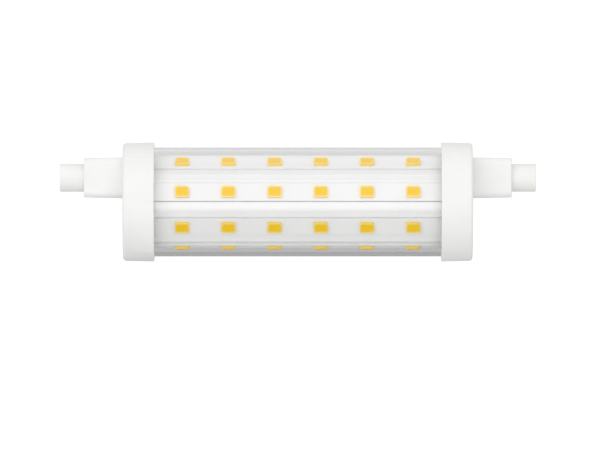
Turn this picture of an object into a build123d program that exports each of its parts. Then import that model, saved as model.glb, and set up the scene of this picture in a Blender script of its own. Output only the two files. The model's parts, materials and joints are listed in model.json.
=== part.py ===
"""Linear LED lamp, 118 mm long, with a recessed contact in a round sleeve at each end.

A clear tube is closed by two white caps. Each cap carries a drafted square boss, set above the
lamp's axis, and a ceramic sleeve with the contact at the bottom of its recess. Inside, eight LED
boards lie in the channels of an octagonal core, and the driver sits in a liner in the core's bore.

X runs along the lamp, Z is up, and the origin is the middle of the tube's axis.
All lengths are in millimetres and all angles in degrees.
"""

import os
from math import cos, pi, radians, sin, tan

from build123d import *

# Lengths along the lamp
overall_length = 118.0
sleeve_reach = 6.0
boss_length = 9.7
cap_length = 7.75

# End caps
cap_wall = 1.15
cap_draft = 1.2
cap_end_wall = 1.6
cap_corner_radius = 0.8
cap_rim_chamfer = 0.25

# Boss on each cap
boss_side = 10.1
boss_draft = 1.1
boss_rise = 6.0
boss_corner_radius = 1.6
boss_edge_chamfer = 0.2
boss_wall = 1.0
boss_end_wall = 1.4

# Contact sleeve and contact
sleeve_diameter = 6.9
sleeve_neck_diameter = 7.5
sleeve_clearance = 0.05
sleeve_edge_chamfer = 0.35
flange_thickness = 1.8
flange_clearance = 0.1
recess_diameter = 4.2
recess_depth = 1.9
contact_head_diameter = 3.6
contact_head_thickness = 0.6
contact_head_clearance = 0.05
contact_head_chamfer = 0.2
contact_stem_diameter = 2.0
contact_stem_clearance = 0.03
contact_tail = 1.6

# Clear tube and its seals
tube_diameter = 27.0
tube_wall = 1.0
tube_clearance = 0.1
seal_thickness = 0.7

# Octagonal core
row_count = 8
core_gap = 1.8
core_wall = 1.2
core_turn = 12.5
core_edge_radius = 0.3
core_end_gap = 1.5
channel_depth = 0.3
channel_clearance = 0.15

# Lugs in each cap that centre the core
lug_rows = (2, 3, 5, 7)
lug_width = 4.4
lug_thickness = 1.0
lug_reach = 3.5
lug_clearance = 0.1
lug_shoulder_height = 0.9

# LED boards
board_width = 4.4
board_thickness = 0.8
board_end_inset = 0.2

# LEDs
led_count = 6
led_end_gap = 6.975
led_length = 3.5
led_width = 2.8
led_height = 0.6
led_mark = 0.5
window_length = 3.07
window_width = 2.15
window_corner = 0.35
window_depth = 0.35
window_draft = 15.0
phosphor_dip = 0.03

# Wires, the strips that link the boards, and their solder
wire_gap = 0.02
wire_sides = 10
lead_diameter = 1.3
lead_side = 2.4
lead_run = 5.5
feed_diameter = 0.8
feed_rows = (1, 8)
feed_side = 5.2
feed_run = 4.4
feed_margin = 0.6
feed_landing = 1.2
pad_inset = 4.0
link_width = 0.8
link_thickness = 0.2
link_inset = 2.0
link_offset = 1.2
link_rise = 0.5
link_clearance = 0.3
solder_rim = 0.3
solder_height = 0.3
solder_slope = 30.0

# Driver liner and board
liner_wall = 0.6
liner_clearance = 0.1
rail_width = 1.3
rail_thickness = 0.6
driver_end_gap = 3.7
driver_thickness = 1.0
driver_drop = 3.0
driver_edge_clearance = 0.15
pin_side = 0.5
pin_hole_clearance = 0.15
pin_reach = 0.8
pin_run = 0.8
part_lift = 0.05
part_edge_chamfer = 0.4

# Parts that stand or lie on the driver board
capacitor_diameter = 8.0
capacitor_pin_spacing = 3.5
capacitor_groove_place = 1.6
capacitor_groove_depth = 0.4
choke_diameter = 8.0
choke_height = 9.0
choke_flange = 1.2
choke_core_diameter = 4.0
choke_wire_depth = 1.6
film_width = 5.0
film_height = 8.5
varistor_diameter = 7.0
varistor_thickness = 3.5
varistor_lift = 0.8
fuse_diameter = 3.0
fuse_side = -3.6

# Parts under the driver board: length, width and height
rectifier_size = (4.7, 3.9, 2.3)
chip_size = (4.9, 3.9, 1.5)
diode_size = (4.3, 2.6, 2.1)
small_size = (3.2, 1.6, 0.6)
small_count = 3
small_pitch = 3.4
small_side = 3.8
body_chamfer = 0.2
leg_pitch = 1.27
leg_pairs = 4
leg_width = 0.4
diode_leg_width = 1.4
leg_reach = 0.9
leg_thickness = 0.2

# Lengths of parts, as shares of the driver board's length
capacitor_share = 0.182
film_share = 0.151
fuse_share = 0.098

# Places of parts, as shares of the driver board's length from its middle
capacitor_shares = (0.136, 0.341)
choke_share = -0.045
film_place_share = -0.205
varistor_share = -0.326
fuse_place_share = -0.421
rectifier_share = -0.409
chip_share = -0.106
diode_share = 0.091
resistor_share = 0.167
chip_capacitor_share = -0.212

# Places along the lamp, measured to the right of its middle
lamp_end = overall_length / 2
boss_face = lamp_end - sleeve_reach
cap_face = boss_face - boss_length
cap_rim = cap_face - cap_length
cap_floor = cap_face - cap_end_wall
tube_end = cap_floor - seal_thickness
core_end = cap_floor - core_end_gap
lug_tip = core_end - lug_reach
board_end = core_end - board_end_inset
link_place = board_end - link_inset
led_pitch = 2 * (cap_rim - led_end_gap) / (led_count - 1)

# Driver board, and the lengths and places of the parts on it
driver_length = 2 * (lug_tip - driver_end_gap)
capacitor_length = capacitor_share * driver_length
film_length = film_share * driver_length
fuse_length = fuse_share * driver_length
capacitor_places = [share * driver_length for share in capacitor_shares]
choke_place = choke_share * driver_length
film_place = film_place_share * driver_length
varistor_place = varistor_share * driver_length
fuse_place = fuse_place_share * driver_length
rectifier_place = rectifier_share * driver_length
chip_place = chip_share * driver_length
diode_place = diode_share * driver_length
resistor_place = resistor_share * driver_length
chip_capacitor_place = chip_capacitor_share * driver_length

# Radii and heights
tube_radius = tube_diameter / 2
cap_bore_radius = tube_radius + tube_clearance
cap_radius = cap_bore_radius + cap_wall
cap_face_radius = cap_radius - cap_length * tan(radians(cap_draft))
core_height = tube_radius - tube_wall - core_gap
core_bore_height = core_height - core_wall
channel_floor = core_height - channel_depth
channel_width = board_width + 2 * channel_clearance
board_top = channel_floor + board_thickness
led_top = board_top + led_height
liner_radius = core_bore_height - liner_clearance
liner_bore_radius = liner_radius - liner_wall
driver_top = -driver_drop
driver_under = driver_top - driver_thickness
boss_end_side = boss_side - 2 * boss_length * tan(radians(boss_draft))
cavity_side = boss_end_side - 2 * boss_wall
cavity_corner_radius = boss_corner_radius - boss_wall / 2
flange_side = cavity_side - 2 * flange_clearance
contact_floor = lamp_end - recess_depth
flange_back = boss_face - boss_end_wall - flange_thickness
contact_tail_end = flange_back - contact_tail

contact_axis = Axis((0, 0, boss_rise), (1, 0, 0))
contact_plane = Plane(origin=(0, 0, boss_rise), x_dir=(1, 0, 0), z_dir=(0, -1, 0))


def row_angle(row):
    """Direction that a row faces, from +Y towards +Z. Row 2 is the one that faces the front."""
    return 180 - core_turn + 360 / row_count * (row - 2)


def row_plane(row, height):
    """Plane at that height above the axis, facing out from a row, with its X along the lamp."""
    angle = radians(row_angle(row))
    outward = Vector(0, cos(angle), sin(angle))
    return Plane(origin=outward * height, x_dir=(1, 0, 0), z_dir=outward)


def keep(piece, name):
    """Labels a finished piece and writes it."""
    piece.part.label = name
    export_step(piece.part, f"parts/{name}.step")


def mirrored(right):
    """The same piece for the left end."""
    with BuildPart() as left:
        add(right.part)
        mirror(about=Plane.YZ, mode=Mode.REPLACE)
    return left


def turned_octagon(height, mode=Mode.ADD):
    """The core's octagon, with one face square to each row."""
    turn = row_angle(1) + 180 / row_count
    RegularPolygon(height, row_count, major_radius=False, rotation=turn, mode=mode)


def clear_tube():
    with BuildPart() as tube:
        with BuildSketch(Plane.YZ.offset(-tube_end)):
            Circle(tube_radius)
            Circle(tube_radius - tube_wall, mode=Mode.SUBTRACT)
        extrude(amount=2 * tube_end)
    return tube


def seal_ring():
    """Ring of adhesive between the tube's end and the floor of the cap."""
    with BuildPart() as seal:
        with BuildSketch(Plane.YZ.offset(tube_end)):
            Circle(tube_radius)
            Circle(tube_radius - tube_wall, mode=Mode.SUBTRACT)
        extrude(amount=seal_thickness)
    return seal


def end_cap():
    """The right cap: a drafted cup, the hollow square boss on it, and the lugs inside."""
    with BuildPart() as cap:
        # Cup
        with BuildSketch(Plane.XY) as cup:
            with BuildLine():
                Polyline(
                    (cap_rim, cap_bore_radius),
                    (cap_rim, cap_radius),
                    (cap_face, cap_face_radius),
                    (cap_face, 0),
                    (cap_floor, 0),
                    (cap_floor, cap_bore_radius),
                    close=True,
                )
            make_face()
            fillet(cup.vertices().sort_by(lambda v: v.X + v.Y)[-1], cap_corner_radius)
            chamfer(cup.vertices().group_by(Axis.X)[0], cap_rim_chamfer)
        revolve(axis=Axis.X)

        # Boss
        with BuildSketch(Plane.YZ.offset(cap_face)):
            with Locations((0, boss_rise)):
                RectangleRounded(boss_side, boss_side, boss_corner_radius)
        extrude(amount=boss_length, taper=boss_draft)
        chamfer(cap.faces().sort_by(Axis.X)[-1].edges(), boss_edge_chamfer)

        # Cavity behind the sleeve's flange, and the hole that the sleeve comes out of
        with BuildSketch(Plane.YZ.offset(cap_floor)):
            with Locations((0, boss_rise)):
                RectangleRounded(cavity_side, cavity_side, cavity_corner_radius)
        extrude(amount=boss_face - boss_end_wall - cap_floor, mode=Mode.SUBTRACT)
        with BuildSketch(Plane.YZ.offset(boss_face)):
            with Locations((0, boss_rise)):
                Circle(sleeve_neck_diameter / 2 + sleeve_clearance)
        extrude(amount=-boss_end_wall, mode=Mode.SUBTRACT)

        # Stepped lugs: the tongue centres the core and the shoulder stops it
        for row in lug_rows:
            lug_top = core_bore_height - lug_clearance
            shoulder_start = core_end + lug_clearance
            with BuildSketch(row_plane(row, lug_top)):
                with Locations(((lug_tip + cap_floor) / 2, 0)):
                    Rectangle(cap_floor - lug_tip, lug_width)
            extrude(amount=-lug_thickness)
            with BuildSketch(row_plane(row, lug_top)):
                with Locations(((shoulder_start + cap_floor) / 2, 0)):
                    Rectangle(cap_floor - shoulder_start, lug_width)
            extrude(amount=lug_shoulder_height)
    return cap


def contact_sleeve():
    """Ceramic sleeve of the right end, with the square flange that holds it in the boss."""
    with BuildPart() as sleeve:
        with BuildSketch(Plane.YZ.offset(flange_back)):
            with Locations((0, boss_rise)):
                RectangleRounded(flange_side, flange_side, cavity_corner_radius)
        extrude(amount=flange_thickness)
        with BuildSketch(Plane.YZ.offset(boss_face - boss_end_wall)):
            with Locations((0, boss_rise)):
                Circle(sleeve_neck_diameter / 2)
        extrude(amount=boss_end_wall)
        with BuildSketch(Plane.YZ.offset(boss_face)):
            with Locations((0, boss_rise)):
                Circle(sleeve_diameter / 2)
        extrude(amount=sleeve_reach)
        chamfer(sleeve.faces().sort_by(Axis.X)[-1].edges(), sleeve_edge_chamfer)
        with BuildSketch(Plane.YZ.offset(lamp_end)):
            with Locations((0, boss_rise)):
                Circle(recess_diameter / 2)
        extrude(amount=-recess_depth, mode=Mode.SUBTRACT)
        with BuildSketch(Plane.YZ.offset(contact_floor)):
            with Locations((0, boss_rise)):
                Circle(contact_head_diameter / 2 + contact_head_clearance)
        extrude(amount=-contact_head_thickness, mode=Mode.SUBTRACT)
        with BuildSketch(Plane.YZ.offset(flange_back)):
            with Locations((0, boss_rise)):
                Circle(contact_stem_diameter / 2 + contact_stem_clearance)
        extrude(amount=lamp_end - flange_back, mode=Mode.SUBTRACT)
    return sleeve


def contact():
    """Contact of the right end: a button at the bottom of the recess, on a stem."""
    head_radius = contact_head_diameter / 2
    head_back = contact_floor - contact_head_thickness
    with BuildPart() as button:
        with BuildSketch(contact_plane) as outline:
            with BuildLine():
                Polyline(
                    (contact_tail_end, 0),
                    (contact_tail_end, contact_stem_diameter / 2),
                    (head_back, contact_stem_diameter / 2),
                    (head_back, head_radius),
                    (contact_floor, head_radius),
                    (contact_floor, 0),
                    close=True,
                )
            make_face()
            chamfer(outline.vertices().sort_by(lambda v: v.X + v.Z)[-1], contact_head_chamfer)
        revolve(axis=contact_axis)
    return button


def core():
    """Octagonal extrusion with a channel for a board in each face."""
    with BuildPart() as extrusion:
        with BuildSketch(Plane.YZ.offset(-core_end)) as section:
            turned_octagon(core_height)
            fillet(section.vertices(), core_edge_radius)
            with PolarLocations(
                core_height - channel_depth / 2, row_count, start_angle=row_angle(1)
            ):
                Rectangle(channel_depth, channel_width, mode=Mode.SUBTRACT)
            turned_octagon(core_bore_height, mode=Mode.SUBTRACT)
        extrude(amount=2 * core_end)
    return extrusion


def led_board(row):
    with BuildPart() as board:
        with BuildSketch(row_plane(row, channel_floor)):
            Rectangle(2 * board_end, board_width)
        extrude(amount=board_thickness)
    return board


def window_outline():
    """The lit window of every LED in a row: a rectangle with its corners cut off."""
    end, side, cut = window_length / 2, window_width / 2, window_corner
    with GridLocations(led_pitch, 0, led_count, 1):
        Polygon(
            (end, side - cut),
            (end - cut, side),
            (cut - end, side),
            (-end, side - cut),
            (-end, cut - side),
            (cut - end, -side),
            (end - cut, -side),
            (end, cut - side),
            align=None,
        )


def led_housings(row):
    """White housings of one row, each with a cup for the phosphor and one marked corner."""
    end, side = led_length / 2, led_width / 2
    with BuildPart() as housings:
        with BuildSketch(row_plane(row, board_top)):
            with GridLocations(led_pitch, 0, led_count, 1):
                Polygon(
                    (-end, -side),
                    (end, -side),
                    (end, side - led_mark),
                    (end - led_mark, side),
                    (-end, side),
                    align=None,
                )
        extrude(amount=led_height)
        with BuildSketch(row_plane(row, led_top)):
            window_outline()
        extrude(amount=-window_depth, taper=window_draft, mode=Mode.SUBTRACT)
    return housings


def led_phosphor(row):
    """Phosphor in the cups of one row, just below their brims."""
    with BuildPart() as phosphor:
        with BuildSketch(row_plane(row, led_top)):
            window_outline()
        extrude(amount=-window_depth, taper=window_draft)
        with BuildSketch(row_plane(row, led_top)):
            Rectangle(2 * board_end, led_width)
        extrude(amount=-phosphor_dip, mode=Mode.SUBTRACT)
    return phosphor


def route_radii(points):
    """Radius for each corner of a wire's route: 0.45 of the shorter run over the half turn's tangent."""
    radii = []
    for before, corner, after in zip(points, points[1:], points[2:]):
        arriving = Vector(*corner) - Vector(*before)
        leaving = Vector(*after) - Vector(*corner)
        half_turn = radians(arriving.get_angle(leaving)) / 2
        radii.append(0.45 * min(arriving.length, leaving.length) / tan(half_turn))
    return radii


def wire(points, diameter):
    """A wire along straight runs joined by tangent arcs, with a section of few sides."""
    radii = route_radii(points)
    print("wire radii", [round(radius, 2) for radius in radii])
    with BuildPart() as swept:
        with BuildLine() as route:
            FilletPolyline(*points, radius=radii)
        with BuildSketch(Plane(origin=route.line @ 0, z_dir=route.line % 0)):
            RegularPolygon(diameter / 2, wire_sides)
        sweep()
    section_area = wire_sides / 2 * (diameter / 2) ** 2 * sin(2 * pi / wire_sides)
    print("volume over section times length", swept.part.volume / section_area / route.wire().length)
    return swept


def mains_lead():
    """Lead of the right end, from the contact's tail to its pad on the driver board."""
    pad = driver_length / 2 - pad_inset
    lying = driver_top + lead_diameter / 2 + wire_gap
    return wire(
        [
            (contact_tail_end, 0, boss_rise),
            (contact_tail_end - lead_run, 0, boss_rise),
            (pad + lead_run, lead_side, lying),
            (pad, lead_side, lying),
        ],
        lead_diameter,
    )


def feed_wire(row, side):
    """Wire from the driver board, round the right end of the core and on to a row's board."""
    outward = row_plane(row, 0).z_dir
    pad = driver_length / 2 - pad_inset
    lying = driver_top + feed_diameter / 2 + wire_gap
    inside = core_bore_height - lug_clearance - lug_thickness - feed_margin - feed_diameter / 2
    outside = board_top + feed_diameter / 2 + wire_gap
    turn = (core_end + cap_floor) / 2
    return wire(
        [
            (pad, side, lying),
            (pad + feed_run, side, lying),
            (turn, inside * outward.Y, inside * outward.Z),
            (turn, outside * outward.Y, outside * outward.Z),
            (board_end - feed_landing, outside * outward.Y, outside * outward.Z),
        ],
        feed_diameter,
    )


def feed_wires():
    with BuildPart() as feeds:
        for row, side in zip(feed_rows, (-feed_side, feed_side)):
            add(feed_wire(row, side).part)
    return feeds


def link_end(row):
    """The boards are in series, so the link after each row is at the other end of the lamp."""
    return link_place if row % 2 == 0 else -link_place


def section_point(row, height, side):
    """A point over a row, seen along the lamp: its height above the axis and its distance to the side."""
    plane = row_plane(row, height)
    point = plane.origin + plane.y_dir * side
    return (point.Y, point.Z)


def link_strip(row):
    """Bent strip from one row's board over the core's edge to the next row's board."""
    edge_angle = radians(row_angle(row) + 180 / row_count)
    edge_radius = core_height / cos(pi / row_count) + link_clearance
    bend_height = board_top + link_rise
    with BuildPart() as strip:
        with BuildSketch(Plane.YZ.offset(link_end(row) - link_width / 2)):
            with BuildLine() as inner_line:
                Polyline(
                    section_point(row, board_top, link_offset),
                    section_point(row, bend_height, link_offset),
                    (edge_radius * cos(edge_angle), edge_radius * sin(edge_angle)),
                    section_point(row + 1, bend_height, -link_offset),
                    section_point(row + 1, board_top, -link_offset),
                )
                offset(inner_line.line, amount=link_thickness, side=Side.RIGHT)
            make_face()
        extrude(amount=link_width)
    return strip


def link_strips():
    with BuildPart() as links:
        for row in range(1, row_count):
            add(link_strip(row).part)
    return links


def board_solder():
    """Solder round each foot of the links."""
    with BuildPart() as joints:
        for row in range(1, row_count + 1):
            feet = []
            if row < row_count:
                feet.append((link_end(row), link_offset))
            if row > 1:
                feet.append((link_end(row - 1), -link_offset))
            with BuildSketch(row_plane(row, board_top)):
                for foot_x, foot_y in feet:
                    middle = foot_y + link_thickness / 2 * (1 if foot_y > 0 else -1)
                    with Locations((foot_x, middle)):
                        Rectangle(link_width + 2 * solder_rim, link_thickness + 2 * solder_rim)
                        Rectangle(link_width, link_thickness, mode=Mode.SUBTRACT)
            extrude(amount=solder_height)
    return joints


def driver_liner():
    """Insulating tube in the core's bore, with rails above and below the board's edges."""
    half_length = lug_tip - liner_clearance
    upper_rail = driver_top + driver_edge_clearance + rail_thickness / 2
    lower_rail = driver_under - driver_edge_clearance - rail_thickness / 2
    with BuildPart() as liner:
        with BuildSketch(Plane.YZ.offset(-half_length)):
            Circle(liner_radius)
            Circle(liner_bore_radius, mode=Mode.SUBTRACT)
        extrude(amount=2 * half_length)
        with BuildSketch(Plane.YZ.offset(-half_length)):
            for height in (upper_rail, lower_rail):
                with Locations((0, height)):
                    Rectangle(2 * liner_radius, rail_thickness)
                    Rectangle(2 * (chord_half(height) - rail_width), rail_thickness, mode=Mode.SUBTRACT)
            Circle(liner_radius - liner_wall / 2, mode=Mode.INTERSECT)
        extrude(amount=2 * half_length)
    return liner


def chord_half(height):
    """Half the width of the liner's bore at that height."""
    return (liner_bore_radius**2 - height**2) ** 0.5


def pin_places():
    """Where the pins of the standing and lying parts go through the driver board."""
    places = []
    for place in capacitor_places:
        back = place - capacitor_length / 2 - pin_run
        places += [(back, -capacitor_pin_spacing / 2), (back, capacitor_pin_spacing / 2)]
    places += [(choke_place, -choke_diameter / 4), (choke_place, choke_diameter / 4)]
    places += [(film_place - film_length / 4, 0), (film_place + film_length / 4, 0)]
    places += [(varistor_place, -varistor_diameter / 4), (varistor_place, varistor_diameter / 4)]
    fuse_half = fuse_length / 2 + pin_run
    places += [(fuse_place - fuse_half, fuse_side), (fuse_place + fuse_half, fuse_side)]
    return places


def driver_board():
    half_width = chord_half(driver_under) - driver_edge_clearance
    hole_side = pin_side + 2 * pin_hole_clearance
    with BuildPart() as board:
        with BuildSketch(Plane.XY.offset(driver_under)):
            Rectangle(driver_length, 2 * half_width)
            with Locations(*pin_places()):
                Rectangle(hole_side, hole_side, mode=Mode.SUBTRACT)
        extrude(amount=driver_thickness)
    return board


def pins(places, top):
    """Square pins from below the driver board up to that height."""
    bottom = driver_under - pin_reach
    with BuildPart() as standing:
        with BuildSketch(Plane.XY.offset(bottom)):
            with Locations(*places):
                Rectangle(pin_side, pin_side)
        extrude(amount=top - bottom)
    return standing.part


def side_view(place, height):
    """Plane that looks along +Y, centred at that place on the driver board."""
    return Plane(origin=(place, 0, height), x_dir=(1, 0, 0), z_dir=(0, -1, 0))


def capacitors():
    """The two electrolytic capacitors, lying along the board, each with its crimped groove."""
    radius = capacitor_diameter / 2
    half = capacitor_length / 2
    height = driver_top + part_lift + radius
    groove = capacitor_groove_place - half
    places = pin_places()
    with BuildPart() as cans:
        for number, place in enumerate(capacitor_places):
            with BuildSketch(side_view(place, height)) as outline:
                with BuildLine():
                    Polyline(
                        (-half, 0),
                        (-half, radius),
                        (groove - capacitor_groove_depth, radius),
                        (groove, radius - capacitor_groove_depth),
                        (groove + capacitor_groove_depth, radius),
                        (half, radius),
                        (half, 0),
                        close=True,
                    )
                make_face()
            revolve(axis=Axis((0, 0, height), (1, 0, 0)))
            can_pins = places[2 * number:2 * number + 2]
            add(pins(can_pins, height + pin_side / 2))
            with BuildSketch(Plane.YZ.offset(place - half)):
                with Locations(*[(side, height) for _, side in can_pins]):
                    Rectangle(pin_side, pin_side)
            extrude(amount=-pin_run)
    return cans


def choke_core():
    """Ferrite drum with its two pins."""
    floor = driver_top + part_lift
    with BuildPart() as drum:
        for bottom, thickness, diameter in (
            (floor, choke_flange, choke_diameter),
            (floor + choke_flange, choke_height - 2 * choke_flange, choke_core_diameter),
            (floor + choke_height - choke_flange, choke_flange, choke_diameter),
        ):
            with BuildSketch(Plane.XY.offset(bottom)):
                with Locations((choke_place, 0)):
                    Circle(diameter / 2)
            extrude(amount=thickness)
        add(pins([place for place in pin_places() if place[0] == choke_place], floor))
    return drum


def choke_winding():
    """Copper winding between the drum's flanges."""
    bottom = driver_top + part_lift + choke_flange
    depth = choke_height - 2 * choke_flange
    with BuildPart() as winding:
        with BuildSketch(Plane.XY.offset(bottom)):
            with Locations((choke_place, 0)):
                Circle(choke_core_diameter / 2 + choke_wire_depth)
        extrude(amount=depth)
        chamfer(winding.edges(), part_edge_chamfer)
        with BuildSketch(Plane.XY.offset(bottom)):
            with Locations((choke_place, 0)):
                Circle(choke_core_diameter / 2)
        extrude(amount=depth, mode=Mode.SUBTRACT)
    return winding


def film_capacitor():
    """Boxed film capacitor with its two pins."""
    floor = driver_top + part_lift
    with BuildPart() as film:
        with BuildSketch(Plane.XY.offset(floor)):
            with Locations((film_place, 0)):
                Rectangle(film_length, film_width)
        extrude(amount=film_height)
        chamfer(film.faces().sort_by(Axis.Z)[-1].edges(), part_edge_chamfer)
        add(pins([place for place in pin_places() if abs(place[0] - film_place) < film_length / 2], floor))
    return film


def varistor():
    """Dipped disc varistor, standing across the board on its two pins."""
    radius = varistor_diameter / 2
    height = driver_top + varistor_lift + radius
    with BuildPart() as disc:
        with BuildSketch(Plane.YZ.offset(varistor_place - varistor_thickness / 2)):
            with Locations((0, height)):
                Circle(radius)
        extrude(amount=varistor_thickness)
        chamfer(disc.edges().filter_by(GeomType.CIRCLE), varistor_thickness / 4)
        add(pins([place for place in pin_places() if place[0] == varistor_place], height))
    return disc


def fuse_resistor():
    """Fusible resistor, lying along the board with a pin bent down at each end."""
    radius = fuse_diameter / 2
    height = driver_top + part_lift + radius
    fuse_pins = [place for place in pin_places() if place[1] == fuse_side]
    with BuildPart() as fuse:
        with BuildSketch(Plane.YZ.offset(fuse_place - fuse_length / 2)):
            with Locations((fuse_side, height)):
                Circle(radius)
        extrude(amount=fuse_length)
        chamfer(fuse.edges().filter_by(GeomType.CIRCLE), part_edge_chamfer)
        add(pins(fuse_pins, height + pin_side / 2))
        with BuildSketch(Plane.YZ.offset(fuse_pins[0][0])):
            with Locations((fuse_side, height)):
                Rectangle(pin_side, pin_side)
        extrude(amount=fuse_pins[1][0] - fuse_pins[0][0])
    return fuse


def surface_part(size, place, leg_strips):
    """A moulded part under the driver board. Each strip is a pair of legs: offset, length, width."""
    length, width, height = size
    with BuildPart() as body:
        with BuildSketch(Plane.XY.offset(driver_under - part_lift)):
            with Locations((place, 0)):
                Rectangle(length, width)
        extrude(amount=part_lift - height)
        chamfer(body.faces().sort_by(Axis.Z)[0].edges(), body_chamfer)
        with BuildSketch(Plane.XY.offset(driver_under)):
            for offset_x, strip_length, strip_width in leg_strips:
                with Locations((place + offset_x, 0)):
                    Rectangle(strip_length, strip_width)
        extrude(amount=-leg_thickness)
    return body


def legs_across(size, offsets):
    """Legs out of both long sides of a part, at those offsets along it."""
    return [(offset_x, leg_width, size[1] + 2 * leg_reach) for offset_x in offsets]


def small_parts(place, side):
    """A row of small chip parts under the driver board."""
    length, width, height = small_size
    with BuildPart() as chips:
        with BuildSketch(Plane.XY.offset(driver_under)):
            with Locations((place, side)):
                with GridLocations(small_pitch, 0, small_count, 1):
                    Rectangle(length, width)
        extrude(amount=-height)
    return chips


def driver_solder():
    """Solder peak round each pin under the driver board."""
    with BuildPart() as peaks:
        with BuildSketch(Plane.XY.offset(driver_under)):
            with Locations(*pin_places()):
                Rectangle(pin_side + 2 * solder_rim, pin_side + 2 * solder_rim)
        extrude(amount=-solder_height, taper=solder_slope)
        with BuildSketch(Plane.XY.offset(driver_under)):
            with Locations(*pin_places()):
                Rectangle(pin_side, pin_side)
        extrude(amount=-solder_height, mode=Mode.SUBTRACT)
    return peaks


os.makedirs("parts", exist_ok=True)

keep(clear_tube(), "clear_tube")
keep(core(), "core")
keep(driver_liner(), "driver_liner")

for maker, name in (
    (end_cap, "end_cap"),
    (seal_ring, "tube_seal"),
    (contact_sleeve, "contact_sleeve"),
    (contact, "contact"),
    (mains_lead, "mains_lead"),
):
    right_piece = maker()
    keep(right_piece, f"right_{name}")
    keep(mirrored(right_piece), f"left_{name}")

for row in range(1, row_count + 1):
    keep(led_board(row), f"led_board_{row}")
    keep(led_housings(row), f"led_housings_{row}")
    keep(led_phosphor(row), f"led_phosphor_{row}")

keep(link_strips(), "link_strips")
keep(board_solder(), "board_solder")
keep(feed_wires(), "feed_wires")

keep(driver_board(), "driver_board")
keep(driver_solder(), "driver_solder")
keep(capacitors(), "electrolytic_capacitors")
keep(choke_core(), "choke_core")
keep(choke_winding(), "choke_winding")
keep(film_capacitor(), "film_capacitor")
keep(varistor(), "varistor")
keep(fuse_resistor(), "fuse_resistor")
rectifier_legs = legs_across(rectifier_size, (-rectifier_size[0] / 4, rectifier_size[0] / 4))
keep(surface_part(rectifier_size, rectifier_place, rectifier_legs), "bridge_rectifier")
chip_leg_offsets = [leg_pitch * (pair - (leg_pairs - 1) / 2) for pair in range(leg_pairs)]
chip_legs = legs_across(chip_size, chip_leg_offsets)
keep(surface_part(chip_size, chip_place, chip_legs), "driver_chip")
diode_legs = [(0, diode_size[0] + 2 * leg_reach, diode_leg_width)]
keep(surface_part(diode_size, diode_place, diode_legs), "output_diode")
keep(small_parts(resistor_place, small_side), "chip_resistors")
keep(small_parts(chip_capacitor_place, -small_side), "chip_capacitors")
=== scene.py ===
"""Linear LED lamp: the finished look of every visible piece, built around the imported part.

X runs along the lamp, Z is up and the origin is the middle of the tube's axis. All places are in
metres, and every finished piece keeps its place in its mesh.
"""

import json
from math import atan2, hypot, pi, radians, tan

import bmesh
import bpy
from bpy.props import (
    FloatProperty,
    FloatVectorProperty,
    IntProperty,
    IntVectorProperty,
    PointerProperty,
)
from mathutils import Matrix, Vector


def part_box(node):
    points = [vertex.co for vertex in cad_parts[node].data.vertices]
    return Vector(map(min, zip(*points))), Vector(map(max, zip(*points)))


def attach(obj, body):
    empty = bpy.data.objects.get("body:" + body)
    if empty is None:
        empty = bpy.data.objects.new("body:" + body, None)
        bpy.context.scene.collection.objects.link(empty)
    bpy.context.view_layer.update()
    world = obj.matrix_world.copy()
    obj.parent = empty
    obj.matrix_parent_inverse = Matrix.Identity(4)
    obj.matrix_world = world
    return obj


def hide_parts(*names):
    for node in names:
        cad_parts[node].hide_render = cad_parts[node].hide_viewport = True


bl_info = {
    "name": "Linear LED Lamp",
    "version": (1, 0, 0),
    "blender": (4, 5, 0),
    "location": "3D View > Sidebar > LED Lamp",
    "description": "Models the pieces and finishes of a double-ended linear LED lamp",
    "category": "Object",
}

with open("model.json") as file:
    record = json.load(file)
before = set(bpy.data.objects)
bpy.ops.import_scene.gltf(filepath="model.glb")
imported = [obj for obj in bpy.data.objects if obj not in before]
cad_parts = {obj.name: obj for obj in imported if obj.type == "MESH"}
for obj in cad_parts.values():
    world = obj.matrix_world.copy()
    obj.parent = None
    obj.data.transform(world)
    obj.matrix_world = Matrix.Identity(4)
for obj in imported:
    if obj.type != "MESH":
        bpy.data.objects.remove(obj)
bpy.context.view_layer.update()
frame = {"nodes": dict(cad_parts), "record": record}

MM = 0.001
ROWS = range(1, 9)

NEAR = 1e-6  # Places closer than this are the same place
ROOM = 0.02 * MM  # How far off its circle a point may lie
AROUND = 96  # Points in each loop round a cap or a sleeve
SQUARE_REACH = 0.72  # A circle of this share of a square's side goes round the square
FLAT = 0.99  # A face lies square to an axis from this share of its normal along the axis
SHARP_ANGLE = radians(35)  # Edges that turn more than this stay sharp
GRAIN_LOW, GRAIN_HIGH = 0.3, 0.7  # Most of a noise's values lie between these

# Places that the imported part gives
LAMP_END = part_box("right_contact_sleeve")[1].x
FLANGE_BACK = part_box("right_contact_sleeve")[0].x
BOSS_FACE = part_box("right_end_cap")[1].x
CAP_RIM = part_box("right_end_cap")[0].x
CAP_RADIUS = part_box("right_end_cap")[1].y
TUBE_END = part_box("clear_tube")[1].x
TUBE_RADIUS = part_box("clear_tube")[1].y
CORE_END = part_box("core")[1].x
BOARD_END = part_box("led_board_1")[1].x
CONTACT_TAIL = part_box("right_contact")[0].x
CONTACT_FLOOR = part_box("right_contact")[1].x
BOSS_RISE = sum(corner.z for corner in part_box("right_contact")) / 2

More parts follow.
